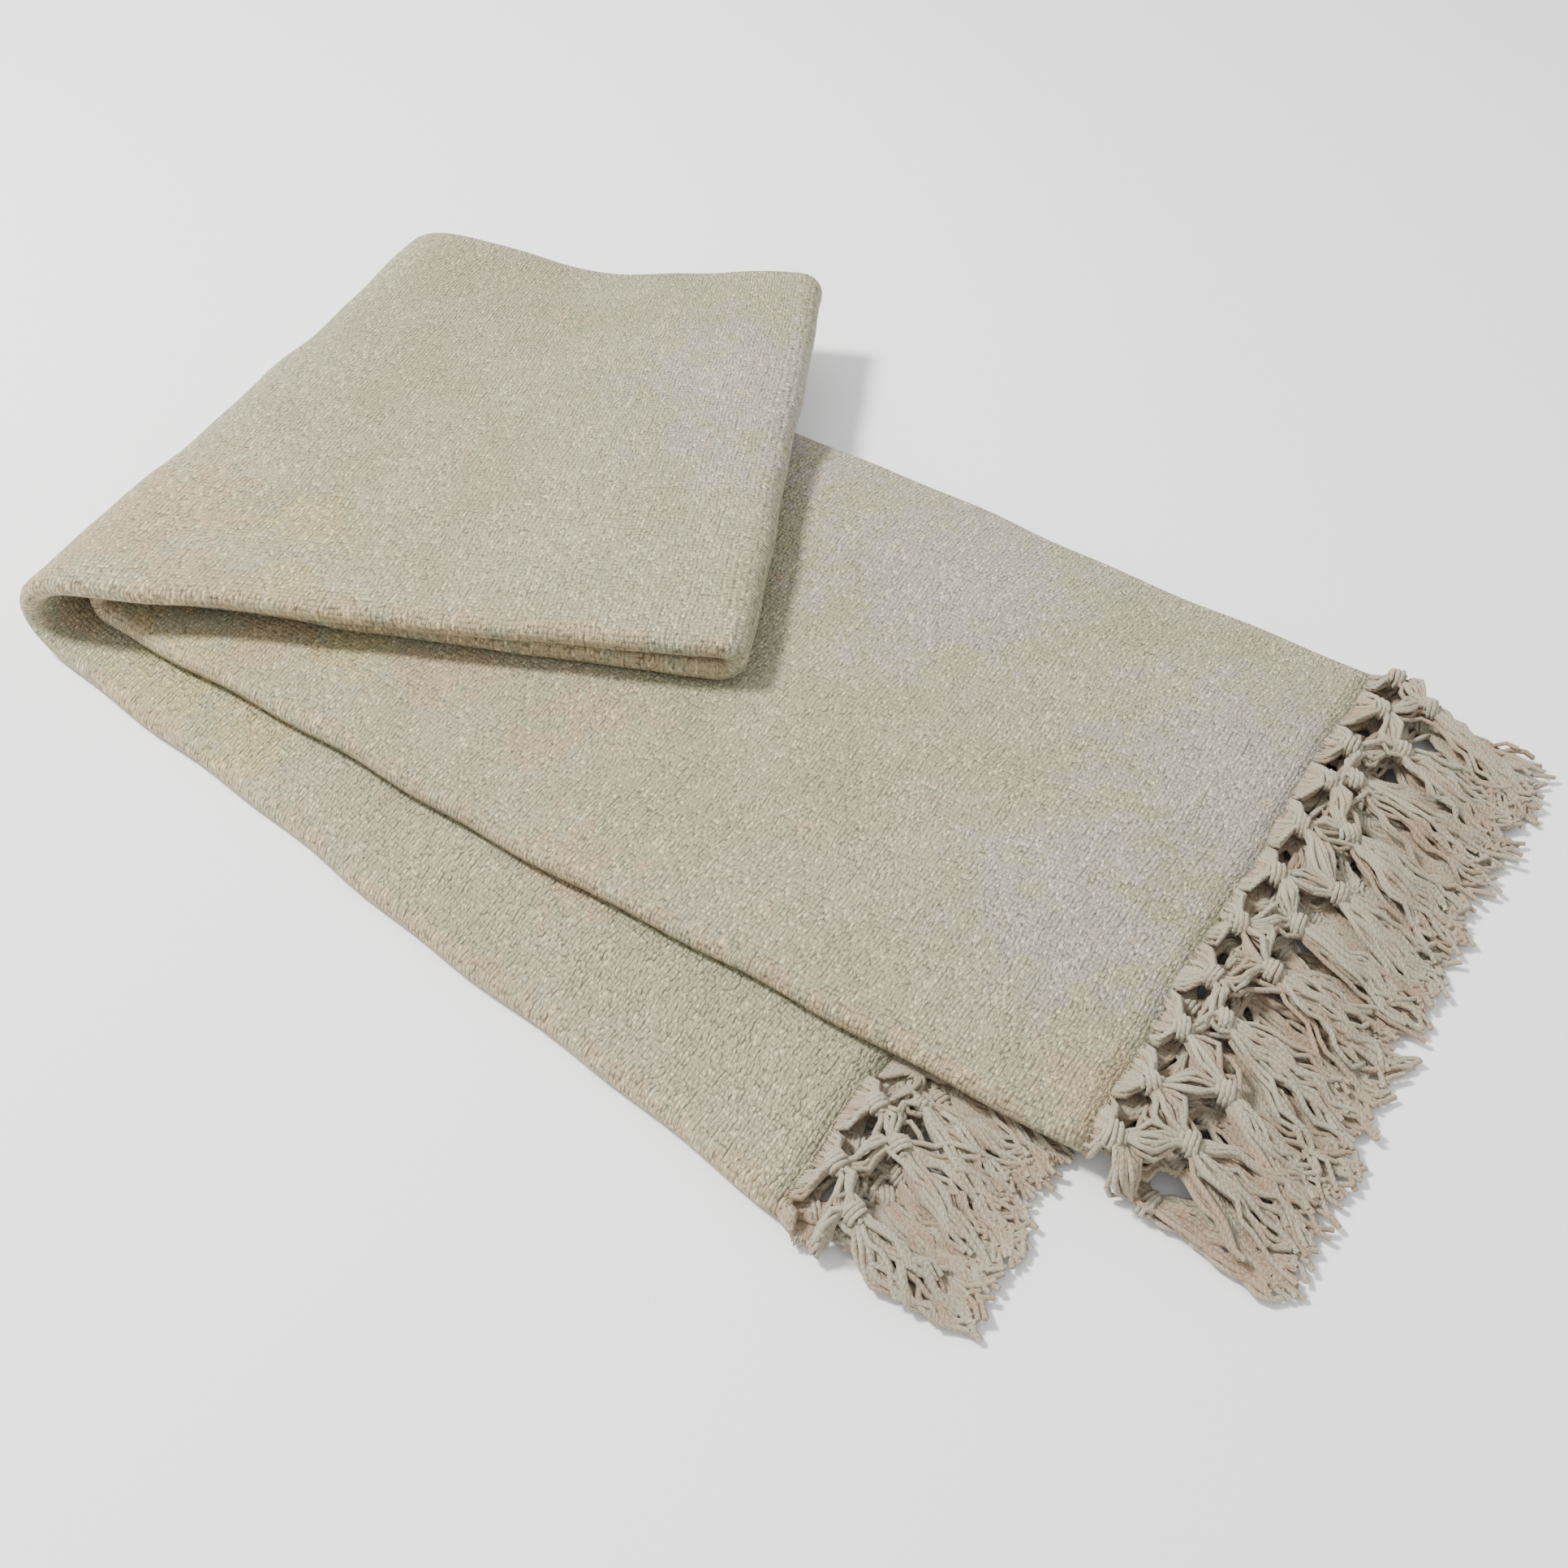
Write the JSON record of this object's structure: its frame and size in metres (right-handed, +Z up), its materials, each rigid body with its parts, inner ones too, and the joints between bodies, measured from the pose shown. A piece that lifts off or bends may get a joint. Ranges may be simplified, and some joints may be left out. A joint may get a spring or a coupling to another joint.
{
  "type": "chenille bedspread",
  "caption": "Folded chenille bedspread with a knotted fringe at each end, lying on a flat surface as it is stored or shown.",
  "frame": {"origin": "centre of the folded bedspread's footprint, on the surface it lies on", "axes": "+X along the upper run towards its fringe, +Y towards the back, +Z up"},
  "size_m": [0.7064, 0.5034, 0.062],
  "materials": {
    "chenille_cloth": "soft matt pile",
    "chenille_fringe": "soft matt yarn"
  },
  "bodies": {
    "root": {"panel": "chenille_cloth", "lower_fringe": "chenille_fringe", "upper_fringe": "chenille_fringe"}
  },
  "joints": []
}
